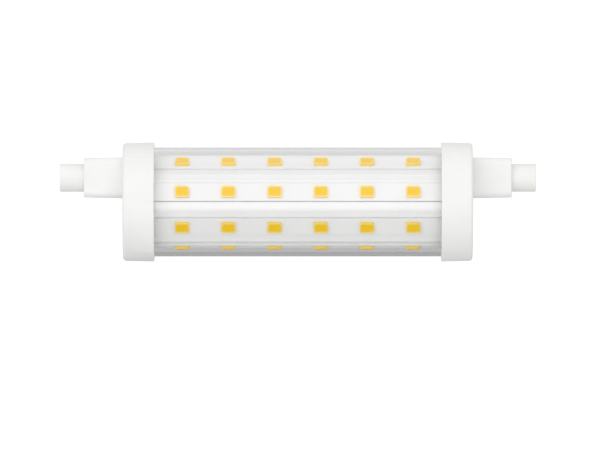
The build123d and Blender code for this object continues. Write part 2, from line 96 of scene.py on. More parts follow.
# Grained finishes of the contacts and the inner pieces: colour, drift of the colour, roughness,
# scale of the grain and its height in millimetres
INNER_FINISHES = {
    "plated_contact": ((0.72, 0.70, 0.65), 0.06, 0.28, 2400, 0.006),
    "seal_silicone": ((0.8, 0.8, 0.78), 0.03, 0.45, 1500, 0.02),
    "liner_film": ((0.8, 0.8, 0.76), 0.02, 0.35, 900, 0.01),
    "lead_insulation": ((0.78, 0.78, 0.76), 0.03, 0.5, 2600, 0.01),
    "feed_insulation": ((0.55, 0.02, 0.015), 0.06, 0.45, 2600, 0.01),
    "solder": ((0.68, 0.69, 0.7), 0.08, 0.3, 2500, 0.02),
    "green_laminate": ((0.02, 0.2, 0.07), 0.12, 0.35, 2200, 0.01),
    "capacitor_wrap": ((0.03, 0.035, 0.06), 0.1, 0.3, 1500, 0.008),
    "ferrite": ((0.03, 0.03, 0.032), 0.15, 0.6, 3000, 0.03),
    "film_case": ((0.65, 0.42, 0.05), 0.05, 0.35, 2000, 0.01),
    "varistor_coat": ((0.05, 0.16, 0.42), 0.06, 0.4, 1600, 0.03),
    "fuse_coat": ((0.5, 0.53, 0.55), 0.05, 0.45, 1800, 0.02),
    "black_moulding": ((0.02, 0.02, 0.022), 0.15, 0.5, 4000, 0.012),
    "chip_ceramic": ((0.5, 0.36, 0.24), 0.08, 0.45, 4000, 0.01),
}
METAL_FINISHES = ("plated_contact", "solder")

# Soft lights: name, place, width and height in metres, and power in watts
LIGHTS = (
    ("key_light", (-0.35, -1.55, 0.52), (3.0, 2.0), 14),
    ("low_light", (0.2, -1.4, -0.45), (2.0, 0.8), 2.5),
    ("top_light", (0.1, -0.1, 1.6), (1.8, 1.2), 2),
)

# The room's brightness by how far up a direction points, from 0 for down to 1 for up
SOFT_ROOM = ((0.0, 0.71), (0.46, 0.74), (0.54, 0.77), (1.0, 0.68))
ROOM_BEHIND = ((0.0, 0.36), (0.47, 0.45), (0.53, 0.74), (1.0, 0.8))
ROOM_AHEAD = ((0.0, 0.2), (0.5, 0.25), (1.0, 0.4))
# How much of the room behind shows, by how far away from the camera a direction points
FAR_SHARE = ((0.35, 0.0), (0.65, 1.0))
BACKDROP_STRENGTH = 1.05

SENSOR_WIDTH = 36  # Millimetres
CAMERA_REACH = 20  # Metres


# Sizes and colours


def length(name, description, millimetres, lowest=0.0):
    """A length with its default in millimetres."""
    return FloatProperty(
        name=name, description=description, default=millimetres * MM, min=lowest, precision=5,
        unit="LENGTH",
    )


def share(name, description, value):
    return FloatProperty(
        name=name, description=description, default=value, min=0, max=1, subtype="FACTOR"
    )


def colour(name, description, value):
    return FloatVectorProperty(
        name=name, description=description, default=value, size=3, min=0, max=1, subtype="COLOR"
    )


class CapSizes(bpy.types.PropertyGroup):
    face_radius: length(
        "Face radius", "Radius of the cap's end face, before its corner is rounded", 14.588
    )
    length: length("Cup length", "From the rim to the end face", 7.75)
    end_wall: length("End wall", "Thickness of the cap's end", 1.6)
    bore_radius: length("Bore radius", "Radius of the bore that takes the tube", 13.6)
    corner_radius: length("Corner radius", "Rounding of the cup's outer corner", 0.8)
    rim_radius: length("Rim rounding", "Rounding of the rim's outer edge", 0.2)
    boss_side: length("Boss side", "Side of the square boss where it meets the cup", 10.1)
    boss_end_side: length("Boss end side", "Side of the boss at its outer end", 9.728)
    boss_corner: length("Boss corner radius", "Radius of the boss's long corners", 1.6)
    boss_edge: length("Boss edge rounding", "Rounding of the boss's outer edge", 0.35)
    boss_root: length("Boss root fillet", "Fillet between the boss and the cup", 0.25)
    boss_end_wall: length(
        "Boss end wall", "Thickness of the wall that the sleeve comes out of", 1.4
    )
    hole_gap: length("Hole gap", "Clearance round the sleeve in that wall", 0.05)
    hole_edge: length("Hole edge rounding", "Rounding of the sleeve's hole", 0.08)
    cavity_side: length("Cavity side", "Side of the hollow behind the sleeve", 7.728)
    cavity_corner: length("Cavity corner radius", "Radius of the hollow's corners", 1.1)
    lug_rows: IntVectorProperty(
        name="Lug rows", description="Rows that have a lug behind them", default=(2, 3, 5, 7),
        size=4, min=1,
    )
    lug_width: length("Lug width", "Width of the lugs that centre the core", 4.4)
    lug_reach: length("Lug reach", "How far a lug reaches into the core", 3.5)
    lug_root: length("Lug root", "How far a lug is sunk into the cap's end", 0.2)
    lug_thickness: length("Lug thickness", "Thickness of a lug's tongue", 1.0)
    lug_shoulder: length("Lug shoulder", "Height of the step that stops the core", 0.9)
    lug_gap: length("Lug gap", "Clearance between a lug and the core", 0.1)


class SleeveSizes(bpy.types.PropertyGroup):
    radius: length("Sleeve radius", "Radius of the round end", 3.45)
    neck_radius: length("Neck radius", "Radius inside the boss's wall", 3.75)
    edge: length("Edge rounding", "Rounding of the sleeve's outer edge", 0.25)
    lip: length("Lip rounding", "Rounding of the recess's edge", 0.12)
    recess_radius: length("Recess radius", "Radius of the recess for the contact", 2.1)
    flange_side: length("Flange side", "Side of the square flange inside the boss", 7.528)
    contact_radius: length("Contact radius", "Radius of the contact's button", 1.8)
    contact_thickness: length("Contact thickness", "Thickness of the contact's button", 0.6)
    contact_gap: length("Contact gap", "Clearance round the contact's button", 0.05)
    stem_radius: length("Stem radius", "Radius of the contact's stem", 1.0)
    stem_gap: length("Stem gap", "Clearance round the contact's stem", 0.03)


class TubeSizes(bpy.types.PropertyGroup):
    wall: length("Wall", "Thickness of the clear tube's wall", 1.0)
    edge: length("Edge rounding", "Rounding of the tube's cut ends", 0.3)


class CoreSizes(bpy.types.PropertyGroup):
    height: length("Flat height", "From the axis to each flat of the octagonal core", 10.7)
    wall: length("Wall", "Thickness of the core's wall", 1.2)
    edge: length("Edge rounding", "Rounding of the core's eight long edges", 0.3)
    channel_width: length("Channel width", "Width of the channel that holds a board", 4.7)
    channel_depth: length("Channel depth", "Depth of the channel", 0.3)
    board_width: length("Board width", "Width of an LED board", 4.4)
    board_thickness: length("Board thickness", "Thickness of an LED board", 0.8)
    board_edge: length("Board edge", "Rounding of the board's edges", 0.06)


class LedSizes(bpy.types.PropertyGroup):
    count: IntProperty(
        name="LEDs in a row", description="Number of LEDs on one board", default=6, min=1
    )
    pitch: length("Pitch", "Distance from one LED to the next", 11.43)
    length: length("Length", "Length of an LED's housing", 3.5)
    width: length("Width", "Width of an LED's housing", 2.8)
    height: length("Height", "Height of an LED's housing", 0.6)
    mark: length("Marked corner", "Size of the corner that is cut off", 0.5)
    corner: length("Plain corners", "Size of the cuts at the other corners", 0.08)
    edge: length("Edge rounding", "Rounding of the housing's edges", 0.05)
    window_length: length("Window length", "Length of the yellow window", 3.07)
    window_width: length("Window width", "Width of the yellow window", 2.15)
    window_corner: length("Window corner", "Size of the window's cut corners", 0.35)
    window_depth: length("Window depth", "Depth of the cup under the window", 0.35)
    cup_draft: share(
        "Cup draft", "How much the cup's walls lean in, as a share of its depth", 0.268
    )
    dip: length("Phosphor dip", "How far the phosphor lies under the housing's brim", 0.03)
    hollow_step: length("Hollow step", "Width of each ring of the phosphor's hollow", 0.22)
    hollow_drop: length("Hollow drop", "How far the hollow's innermost ring falls", 0.004)


class Colours(bpy.types.PropertyGroup):
    cap: colour("Caps", "Moulded plastic of the end caps", (0.88, 0.88, 0.865))
    sleeve: colour("Sleeves", "Ceramic of the contact sleeves", (0.875, 0.875, 0.855))
    core: colour("Core", "Coat on the core", (0.88, 0.88, 0.875))
    board: colour("Boards", "Solder mask on the LED boards", (0.875, 0.875, 0.872))
    housing: colour("LED housings", "Resin on the rims of the LEDs", (0.93, 0.73, 0.27))
    housing_wall: colour(
        "LED housing walls", "Thin side walls that the phosphor tints", (0.94, 0.64, 0.06)
    )
    phosphor: colour("Phosphor", "Silicone in the LED windows", (0.97, 0.6, 0.003))
    floor: colour("Floor", "The floor under the lamp", (0.9, 0.9, 0.9))


class StageSizes(bpy.types.PropertyGroup):
    distance: length("Camera distance", "From the lamp's axis to the camera", 3000)
    view_width: length("View width", "Width that the camera sees at the lamp", 148.8)
    aim_side: length(
        "Aim to the right", "How far right of the lamp's middle the camera looks", 0.55, -1
    )
    aim_height: length(
        "Aim height", "Height over the lamp's axis that the camera looks at", -5.7, -1
    )
    floor_drop: length("Floor drop", "How far the floor lies under the lamp's axis", 75)
    floor_radius: length(
        "Floor radius", "Radius of the floor, which fades out towards its edge", 420
    )


SETTINGS = {
    "lamp_cap": CapSizes,
    "lamp_sleeve": SleeveSizes,
    "lamp_tube": TubeSizes,
    "lamp_core": CoreSizes,
    "lamp_led": LedSizes,
    "lamp_colours": Colours,
    "lamp_stage": StageSizes,
}


# Modelling helpers


def clear_selection():
    """Leaves edit mode and selects nothing, so that the next operator acts on nothing old."""
    if bpy.context.object and bpy.context.object.mode != "OBJECT":
        bpy.ops.object.mode_set(mode="OBJECT")
    bpy.ops.object.select_all(action="DESELECT")


def take(piece):
    """Makes a piece the only one that operators act on."""
    clear_selection()
    piece.select_set(True)
    bpy.context.view_layer.objects.active = piece


def settle(piece):
    """Puts a piece's place, turn and size into its mesh."""
    take(piece)
    bpy.ops.object.transform_apply(location=True, rotation=True, scale=True)


def discard(piece):
    take(piece)
    bpy.ops.object.delete()


def named(name):
    """Names the primitive that was just added, and puts its place into its mesh."""
    piece = bpy.context.object
    piece.name = piece.data.name = name
    settle(piece)
    return piece


def edit(piece):
    """Opens a piece for editing, with all of it selected."""
    take(piece)
    bpy.ops.object.mode_set(mode="EDIT")
    bpy.ops.mesh.select_mode(type="VERT")
    bpy.ops.mesh.select_all(action="SELECT")


def pick(kind, test):
    """Selects the vertices, edges or faces of the piece being edited that pass a test."""
    bpy.ops.mesh.select_mode(type=kind)
    bpy.ops.mesh.select_all(action="DESELECT")
    piece = bpy.context.object
    mesh = bmesh.from_edit_mesh(piece.data)
    items = {"VERT": mesh.verts, "EDGE": mesh.edges, "FACE": mesh.faces}[kind]
    found = [item for item in items if test(item)]
    if not found:
        raise RuntimeError(f"nothing to shape on {piece.name}")
    for item in found:
        item.select_set(True)
    mesh.select_flush_mode()
    bmesh.update_edit_mesh(piece.data)


def anything(item):
    return True


def at(value, place):
    return abs(value - place) < NEAR


def off_axis(point, rise=0.0):
    """Distance of a point from a line along the lamp at that rise."""
    return hypot(point.y, point.z - rise)


def all_corners(test):
    """A test of an edge or a face that asks the same of each of its corners."""
    return lambda item: all(test(vertex.co) for vertex in item.verts)


def on_ring(x, radius=None, rise=0.0):
    """A test of an edge: in the plane at x, and on that circle if a radius is given."""
    if radius is None:
        return all_corners(lambda point: at(point.x, x))
    return all_corners(
        lambda point: at(point.x, x) and abs(off_axis(point, rise) - radius) < ROOM
    )


def run_of(edge):
    """The way from one end of an edge to the other."""
    return edge.verts[1].co - edge.verts[0].co


def upright(edge):
    return hypot(*run_of(edge).xy) < NEAR


def extrude(shift):
    bpy.ops.mesh.extrude_region_move(TRANSFORM_OT_translate={"value": shift})


def scale_about(centre, value):
    bpy.ops.transform.resize(value=value, center_override=centre)


def step_along(x, next_x, scale=1.0, rise=0.0):
    """Extrudes the selected loop to the next place along the lamp and scales it there."""
    extrude((next_x - x, 0, 0))
    if scale != 1.0:
        scale_about((next_x, 0, rise), (1, scale, scale))


def add_circle(x, radius, rise=0.0, vertices=AROUND):
    """A circle across the lamp. In edit mode it joins the piece and is all that is selected."""
    bpy.ops.mesh.primitive_circle_add(
        vertices=vertices, radius=radius, fill_type="NOTHING", location=(x, 0, rise),
        rotation=(0, pi / 2, 0),
    )


def add_rounded_square(name, x, side, corner):
    """A square loop with rounded corners round the boss's axis, as a piece of its own."""
    corner_segments = 8
    clear_selection()
    bpy.ops.mesh.primitive_plane_add(
        size=side, location=(x, 0, BOSS_RISE), rotation=(0, pi / 2, 0)
    )
    piece = named(name)
    edit(piece)
    bpy.ops.mesh.bevel(
        offset=corner, offset_type="OFFSET", segments=corner_segments, profile=0.5,
        affect="VERTICES",
    )
    bpy.ops.mesh.delete(type="ONLY_FACE")
    pick("EDGE", lambda edge: edge.calc_length() > side / 3)
    bpy.ops.mesh.subdivide(number_cuts=(AROUND - 4 * (corner_segments + 1)) // 4)
    return piece


def add_block(name, bottom, height, size_x, size_y):
    """A block across the middle of the lamp, over the axis."""
    clear_selection()
    bpy.ops.mesh.primitive_cube_add(
        size=1, location=(0, 0, bottom + height / 2), scale=(size_x, size_y, height)
    )
    return named(name)


def join(piece, *others):
    """Joins other pieces to one, which is then edited again."""
    clear_selection()
    for other in others:
        other.select_set(True)
    piece.select_set(True)
    bpy.context.view_layer.objects.active = piece
    bpy.ops.object.join()
    edit(piece)


def bridge_flat(inner, outer, lift):
    """Fills the flat ring between two loops, given by tests of their points.

    The inner loop is lifted while they are bridged, because two loops in one plane don't tell the
    bridge which way to go round.
    """
    lift = Vector(lift)
    pick("VERT", lambda vertex: inner(vertex.co))
    bpy.ops.transform.translate(value=lift)
    lifted = all_corners(lambda point: inner(point - lift))
    around = all_corners(outer)
    pick("EDGE", lambda edge: lifted(edge) or around(edge))
    bpy.ops.mesh.bridge_edge_loops()
    pick("VERT", lambda vertex: inner(vertex.co - lift))
    bpy.ops.transform.translate(value=-lift)


def bridge_across(x, limit, rise=0.0):
    """Fills the ring between two loops in the plane at x, one inside and one outside a radius."""
    bridge_flat(
        lambda point: at(point.x, x) and off_axis(point, rise) < limit,
        lambda point: at(point.x, x) and off_axis(point, rise) > limit,
        (MM, 0, 0),
    )


def bevel_where(test, offset, segments):
    pick("EDGE", test)
    bpy.ops.mesh.bevel(
        offset=offset, offset_type="OFFSET", segments=segments, profile=0.5, affect="EDGES"
    )


def heal():
    """Merges doubles and turns all faces outwards, while editing."""
    bpy.ops.mesh.select_mode(type="VERT")
    bpy.ops.mesh.select_all(action="SELECT")
    bpy.ops.mesh.remove_doubles(threshold=NEAR)
    bpy.ops.mesh.normals_make_consistent(inside=False)
    if bmesh.from_edit_mesh(bpy.context.object.data).calc_volume(signed=True) < 0:
        bpy.ops.mesh.flip_normals()


def modify(piece, kind, **settings):
    """Adds a modifier and applies it."""
    take(piece)
    bpy.ops.object.modifier_add(type=kind)
    modifier = piece.modifiers[-1]
    for name, value in settings.items():
        setattr(modifier, name, value)
    bpy.ops.object.modifier_apply(modifier=modifier.name)


def smooth(piece):
    """Smooth shading over curves, with flat faces kept flat."""
    take(piece)
    bpy.ops.object.shade_smooth_by_angle(angle=SHARP_ANGLE)
    modify(piece, "WEIGHTED_NORMAL", keep_sharp=True)


def turned_copy(piece, name, turn):
    """A copy with its own mesh, turned or mirrored in place."""
    take(piece)
    bpy.ops.object.duplicate(linked=False)
    copy = bpy.context.object
    copy.name = copy.data.name = name
    copy.matrix_world = turn
    settle(copy)
    if turn.determinant() < 0:
        edit(copy)
        heal()
        bpy.ops.object.mode_set(mode="OBJECT")
    return copy


def row_turn(row):
    """Turn from straight up to the way that a row faces."""
    low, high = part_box(f"led_board_{row}")
    middle = (low + high) / 2
    return Matrix.Rotation(atan2(middle.z, middle.y) - pi / 2, 4, "X")


def wear(piece, material):
    piece.data.materials.clear()
    piece.data.materials.append(material)


def stands_for(piece, slot, node):
    """Gives a finished piece its material, and says what it replaces and moves with."""
    wear(piece, finish_of(slot))
    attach(piece, "root")
    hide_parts(node)


def on_both_ends(piece, slot, node):
    """Finishes a piece of the right end, and mirrors it for the left end."""
    left = turned_copy(
        piece, piece.name.replace("right", "left"), Matrix.Diagonal((-1, 1, 1, 1))
    )
    stands_for(piece, slot, f"right_{node}")
    stands_for(left, slot, f"left_{node}")


def on_all_rows(master, name, slot, node):
    """Puts a copy of a piece that was made straight up on each row."""
    for row in ROWS:
        copy = turned_copy(master, f"{name}_{row}", row_turn(row))
        stands_for(copy, slot, f"{node}_{row}")
    discard(master)


# Materials


class Finish:
    """A material's nodes, built one after another."""

    def __init__(self, name):
        self.material = bpy.data.materials.new(f"{name}_finish")
        self.material.use_nodes = True
        self.nodes = self.material.node_tree.nodes
        self.links = self.material.node_tree.links
        self.shader = self.nodes["Principled BSDF"]
        coordinates = self.nodes.new("ShaderNodeTexCoord")
        self.place = coordinates.outputs["Object"]
        self.normal = coordinates.outputs["Normal"]

    def set(self, **values):
        for name, value in values.items():
            self.shader.inputs[name.replace("_", " ")].default_value = value

    def feed(self, socket, name):
        self.links.new(socket, self.shader.inputs[name])

    def noise(self, scale, detail=3.0, stretch=(1, 1, 1)):
        mapping = self.nodes.new("ShaderNodeMapping")
        mapping.inputs["Scale"].default_value = stretch
        self.links.new(self.place, mapping.inputs["Vector"])
        texture = self.nodes.new("ShaderNodeTexNoise")
        texture.inputs["Scale"].default_value = scale
        texture.inputs["Detail"].default_value = detail
        texture.inputs["Roughness"].default_value = 0.55
        self.links.new(mapping.outputs["Vector"], texture.inputs["Vector"])
        return texture.outputs["Fac"]

    def ramp(self, factor, low, high, start=GRAIN_LOW, end=GRAIN_HIGH):
        """Goes from one colour to another as a factor rises from start to end."""
        node = self.nodes.new("ShaderNodeValToRGB")
        for element, spot, value in zip(node.color_ramp.elements, (start, end), (low, high)):
            element.position = spot
            element.color = (*value, 1)
        self.links.new(factor, node.inputs["Fac"])
        return node.outputs["Color"]

    def span(self, factor, low, high):
        """Spreads a noise's values over a range."""
        node = self.nodes.new("ShaderNodeMapRange")
        node.inputs["From Min"].default_value = GRAIN_LOW
        node.inputs["From Max"].default_value = GRAIN_HIGH
        node.inputs["To Min"].default_value = low
        node.inputs["To Max"].default_value = high
        self.links.new(factor, node.inputs["Value"])
        return node.outputs["Result"]

    def bump(self, factor, height, strength=1.0):
        """Raises the surface by a factor, to a height in millimetres."""
        node = self.nodes.new("ShaderNodeBump")
        node.inputs["Distance"].default_value = height * MM
        node.inputs["Strength"].default_value = strength
        self.links.new(factor, node.inputs["Height"])
        self.links.new(node.outputs["Normal"], self.shader.inputs["Normal"])


def shade(value, factor):
    return tuple(min(1, part * factor) for part in value)


def grained(name, value, drift, roughness, scale, height):
    """A finish whose colour and roughness drift a little, with a fine moulded or blasted grain."""
    finish = Finish(name)
    clouds = finish.noise(scale=120, detail=2)
    grain = finish.noise(scale=scale, detail=4)
    low, high = shade(value, 1 - drift), shade(value, 1 + drift / 2)
    finish.feed(finish.ramp(clouds, low, high), "Base Color")
    finish.feed(finish.span(grain, roughness - 0.05, roughness + 0.05), "Roughness")
    finish.bump(grain, height)
    finish.set(Metallic=float(name in METAL_FINISHES))


def clear_wall():
    """Polished clear tube with a faint ripple along its draw."""
    finish = Finish("clear_glass")
    ripple = finish.noise(scale=60, detail=1, stretch=(0.15, 1, 1))
    finish.bump(ripple, height=0.01, strength=0.08)
    finish.set(
        Base_Color=(0.985, 0.99, 0.99, 1), Roughness=0.0, IOR=1.49, Transmission_Weight=1.0,
        Specular_IOR_Level=0.5,
    )


def phosphor(value):
    """Silicone filled with yellow phosphor: satin, with a little light going into it."""
    finish = Finish("yellow_phosphor")
    grain = finish.noise(scale=9000, detail=2)
    finish.feed(finish.ramp(grain, shade(value, 0.94), shade(value, 1.04)), "Base Color")
    finish.feed(finish.span(grain, 0.4, 0.5), "Roughness")
    finish.bump(grain, height=0.004)
    finish.set(
        Subsurface_Weight=0.12, Subsurface_Radius=(0.6 * MM, 0.4 * MM, 0.1 * MM),
        Subsurface_Scale=0.5, IOR=1.42, Specular_IOR_Level=0.15,
    )


def led_resin(rim, wall):
    """Resin tinted by the phosphor: pale yellow on the rim, and deeper on the thin side walls."""
    finish = Finish("led_housing")
    # The rim faces away from the lamp's axis, and the walls face along or round it
    away, unit, facing = (finish.nodes.new("ShaderNodeVectorMath") for _ in range(3))
    away.operation, unit.operation, facing.operation = "MULTIPLY", "NORMALIZE", "DOT_PRODUCT"
    away.inputs[1].default_value = (0, 1, 1)
    finish.links.new(finish.place, away.inputs[0])
    finish.links.new(away.outputs["Vector"], unit.inputs[0])
    finish.links.new(unit.outputs["Vector"], facing.inputs[0])
    finish.links.new(finish.normal, facing.inputs[1])
    tint = finish.ramp(facing.outputs["Value"], wall, rim, start=0.4, end=0.9)
    finish.feed(tint, "Base Color")
    grain = finish.noise(scale=6000, detail=4)
    finish.feed(finish.span(grain, 0.35, 0.45), "Roughness")
    finish.bump(grain, height=0.004)


def wound_wire(value):
    """Enamelled wire, wound in fine turns round the choke."""
    finish = Finish("bare_copper")
    turns = finish.nodes.new("ShaderNodeTexWave")
    turns.bands_direction = "Z"
    turns.inputs["Scale"].default_value = 700
    finish.links.new(finish.place, turns.inputs["Vector"])
    clouds = finish.noise(scale=900)
    finish.feed(finish.ramp(clouds, shade(value, 0.8), value), "Base Color")
    finish.bump(turns.outputs["Fac"], height=0.1)
    finish.set(Metallic=1.0, Roughness=0.3)


def make_finishes(colours):
    """One material for each of the record's slots."""
    clear_wall()
    led_resin(colours.housing, colours.housing_wall)
    phosphor(colours.phosphor)
    wound_wire((0.83, 0.42, 0.2))
    outer_finishes = {
        "white_cap": (colours.cap, 0.015, 0.42, 2600, 0.012),
        "white_ceramic": (colours.sleeve, 0.02, 0.5, 3200, 0.01),
        "white_core": (colours.core, 0.02, 0.45, 1800, 0.012),
        "white_board": (colours.board, 0.012, 0.35, 5000, 0.004),
    }
    for slot, look in (outer_finishes | INNER_FINISHES).items():
        grained(slot, *look)


def finish_of(slot):
    return bpy.data.materials[f"{slot}_finish"]


def pale_floor(value, radius):
    """Matt pale floor that fades into the white surroundings."""
    finish = Finish("pale_floor")
    clouds = finish.noise(scale=6)
    finish.feed(finish.ramp(clouds, shade(value, 0.99), value), "Base Color")
    finish.set(Roughness=0.8)
    reach = finish.nodes.new("ShaderNodeVectorMath")
    reach.operation = "LENGTH"
    finish.links.new(finish.place, reach.inputs[0])
    fade = finish.nodes.new("ShaderNodeMapRange")
    fade.interpolation_type = "SMOOTHSTEP"
    limits = {"From Min": 0.45 * radius, "From Max": 0.98 * radius, "To Min": 1, "To Max": 0}
    for name, limit in limits.items():
        fade.inputs[name].default_value = limit
    finish.links.new(reach.outputs["Value"], fade.inputs["Value"])
    finish.feed(fade.outputs["Result"], "Alpha")
    return finish.material


# The pieces


class LAMP_OT_finishes(bpy.types.Operator):
    """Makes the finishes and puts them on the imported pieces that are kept"""

    bl_idname = "lamp.finishes"
    bl_label = "Finishes"

    def execute(self, context):
        make_finishes(context.scene.lamp_colours)
        for subpart in frame["record"]["subparts"]:
            wear(frame["nodes"][subpart["node"]], finish_of(subpart["material_slot"]))
        return {"FINISHED"}


class LAMP_OT_tube(bpy.types.Operator):
    """Clear tube with rounded ends"""

    bl_idname = "lamp.tube"
    bl_label = "Clear tube"

    def execute(self, context):
        sizes = context.scene.lamp_tube
        clear_selection()
        bpy.ops.mesh.primitive_cylinder_add(
            vertices=160, radius=TUBE_RADIUS, depth=2 * TUBE_END, end_fill_type="NOTHING",
            rotation=(0, pi / 2, 0),
        )
        tube = named("clear_lamp_tube")
        modify(tube, "SOLIDIFY", thickness=sizes.wall, offset=-1)
        edit(tube)
        heal()
        for end in (-TUBE_END, TUBE_END):
            bevel_where(on_ring(end), sizes.edge, segments=4)
        smooth(tube)
        # Shadows and soft light pass the clear wall by
        tube.visible_shadow = False
        tube.visible_diffuse = False
        stands_for(tube, "clear_glass", "clear_tube")
        return {"FINISHED"}


class LAMP_OT_caps(bpy.types.Operator):
    """End caps: a drafted cup with a rounded corner, and a square boss with a fillet at its root"""

    bl_idname = "lamp.caps"
    bl_label = "End caps"

    def execute(self, context):
        sizes = context.scene.lamp_cap
        hole_radius = context.scene.lamp_sleeve.neck_radius + sizes.hole_gap
        cap_face = CAP_RIM + sizes.length
        cap_floor = cap_face - sizes.end_wall
        wall_back = BOSS_FACE - sizes.boss_end_wall

        # Boss, from its root to its end
        cap = add_rounded_square("right_cap_shell", cap_face, sizes.boss_side, sizes.boss_corner)
        pick("EDGE", anything)
        step_along(cap_face, BOSS_FACE, sizes.boss_end_side / sizes.boss_side, BOSS_RISE)
        # Hole in its end wall
        add_circle(BOSS_FACE, hole_radius, BOSS_RISE)
        step_along(BOSS_FACE, wall_back)
        bridge_across(BOSS_FACE, hole_radius + ROOM, BOSS_RISE)
        # Hollow behind the wall
        hollow = add_rounded_square("hollow", wall_back, sizes.cavity_side, sizes.cavity_corner)
        pick("EDGE", anything)
        step_along(wall_back, cap_floor)
        join(cap, hollow)
        bridge_across(wall_back, hole_radius + ROOM, BOSS_RISE)
        # Cup: its bore, its rim and its side
        bpy.ops.mesh.select_all(action="DESELECT")
        add_circle(cap_floor, sizes.bore_radius)
        step_along(cap_floor, CAP_RIM)
        step_along(CAP_RIM, CAP_RIM, CAP_RADIUS / sizes.bore_radius)
        step_along(CAP_RIM, cap_face, sizes.face_radius / CAP_RADIUS)
        bridge_across(cap_floor, SQUARE_REACH * sizes.cavity_side, BOSS_RISE)
        bridge_across(cap_face, SQUARE_REACH * sizes.boss_side, BOSS_RISE)
        heal()

        # Rounded edges and the fillet at the boss's root
        root = all_corners(
            lambda point: at(point.x, cap_face)
            and off_axis(point, BOSS_RISE) < SQUARE_REACH * sizes.boss_side
        )
        end = all_corners(
            lambda point: at(point.x, BOSS_FACE)
            and off_axis(point, BOSS_RISE) > hole_radius + ROOM
        )
        for edges, radius, segments in (
            (on_ring(cap_face, sizes.face_radius), sizes.corner_radius, 6),
            (on_ring(CAP_RIM, CAP_RADIUS), sizes.rim_radius, 3),
            (on_ring(CAP_RIM, sizes.bore_radius), sizes.rim_radius / 2, 2),
            (root, sizes.boss_root, 5),
            (end, sizes.boss_edge, 4),
            (on_ring(BOSS_FACE, hole_radius, BOSS_RISE), sizes.hole_edge, 2),
        ):
            bevel_where(edges, radius, segments)
        lugs = self.lugs(context, cap_floor)
        modify(cap, "BOOLEAN", object=lugs, operation="UNION", solver="EXACT")
        discard(lugs)
        smooth(cap)
        on_both_ends(cap, "white_cap", "end_cap")
        return {"FINISHED"}

    def lugs(self, context, cap_floor):
        """Four stepped lugs: the tongues centre the core, and the steps stop it."""
        sizes = context.scene.lamp_cap
        core = context.scene.lamp_core
        top = core.height - core.wall - sizes.lug_gap
        tip = CORE_END - sizes.lug_reach
        step = CORE_END + sizes.lug_gap
        root = cap_floor + sizes.lug_root
        clear_selection()
        bpy.ops.mesh.primitive_cube_add(
            size=1, location=((tip + root) / 2, 0, top - sizes.lug_thickness / 2),
            scale=(root - tip, sizes.lug_width, sizes.lug_thickness),
        )
        lug = named("lug")
        edit(lug)
        bpy.ops.mesh.bisect(plane_co=(step, 0, 0), plane_no=(1, 0, 0))
        pick("FACE", lambda face: face.normal.z > FLAT and face.calc_center_median().x > step)
        extrude((0, 0, sizes.lug_shoulder))
        first, *others = (
            turned_copy(lug, f"lug_{row}", row_turn(row)) for row in sizes.lug_rows
        )
        join(first, *others)
        discard(lug)
        return first


class LAMP_OT_sleeves(bpy.types.Operator):
    """Ceramic sleeves, each with its flange, neck, rounded end and recess"""

    bl_idname = "lamp.sleeves"
    bl_label = "Contact sleeves"

    def execute(self, context):
        sizes = context.scene.lamp_sleeve
        cap = context.scene.lamp_cap
        wall_back = BOSS_FACE - cap.boss_end_wall
        pocket_radius = sizes.contact_radius + sizes.contact_gap
        pocket_floor = CONTACT_FLOOR - sizes.contact_thickness
        bore_radius = sizes.stem_radius + sizes.stem_gap

        sleeve = add_rounded_square(
            "right_sleeve", FLANGE_BACK, sizes.flange_side, cap.cavity_corner
        )
        pick("EDGE", anything)
        step_along(FLANGE_BACK, wall_back)
        add_circle(wall_back, sizes.neck_radius, BOSS_RISE)
        radius, place = sizes.neck_radius, wall_back
        for next_place, next_radius in (
            (BOSS_FACE, sizes.neck_radius),
            (BOSS_FACE, sizes.radius),
            (LAMP_END, sizes.radius),
            (LAMP_END, sizes.recess_radius),
            (CONTACT_FLOOR, sizes.recess_radius),
            (CONTACT_FLOOR, pocket_radius),
            (pocket_floor, pocket_radius),
            (pocket_floor, bore_radius),
            (FLANGE_BACK, bore_radius),
        ):
            step_along(place, next_place, next_radius / radius, BOSS_RISE)
            radius, place = next_radius, next_place
        between_neck_and_flange = (sizes.neck_radius + sizes.flange_side / 2) / 2
        for x in (wall_back, FLANGE_BACK):
            bridge_across(x, between_neck_and_flange, BOSS_RISE)
        heal()
        bevel_where(on_ring(LAMP_END, sizes.radius, BOSS_RISE), sizes.edge, segments=6)
        bevel_where(on_ring(LAMP_END, sizes.recess_radius, BOSS_RISE), sizes.lip, segments=3)
        smooth(sleeve)
        on_both_ends(sleeve, "white_ceramic", "contact_sleeve")
        return {"FINISHED"}


class LAMP_OT_contacts(bpy.types.Operator):
    """Plated contacts at the bottom of the recesses, each a domed button on a stem"""

    bl_idname = "lamp.contacts"
    bl_label = "Contacts"

    def execute(self, context):
        sizes = context.scene.lamp_sleeve
        button_back = CONTACT_FLOOR - sizes.contact_thickness
        clear_selection()
        add_circle(CONTACT_TAIL, sizes.stem_radius, BOSS_RISE, vertices=48)
        contact = named("right_button")
        edit(contact)
        step_along(CONTACT_TAIL, button_back)
        step_along(button_back, button_back, sizes.contact_radius / sizes.stem_radius, BOSS_RISE)
        step_along(button_back, CONTACT_FLOOR)
        for x in (CONTACT_TAIL, CONTACT_FLOOR):
            pick("EDGE", on_ring(x))
            bpy.ops.mesh.edge_face_add()
        heal()
        rim = on_ring(CONTACT_FLOOR, sizes.contact_radius, BOSS_RISE)
        bevel_where(rim, sizes.contact_thickness / 2, segments=4)
        smooth(contact)
        on_both_ends(contact, "plated_contact", "contact")
        return {"FINISHED"}


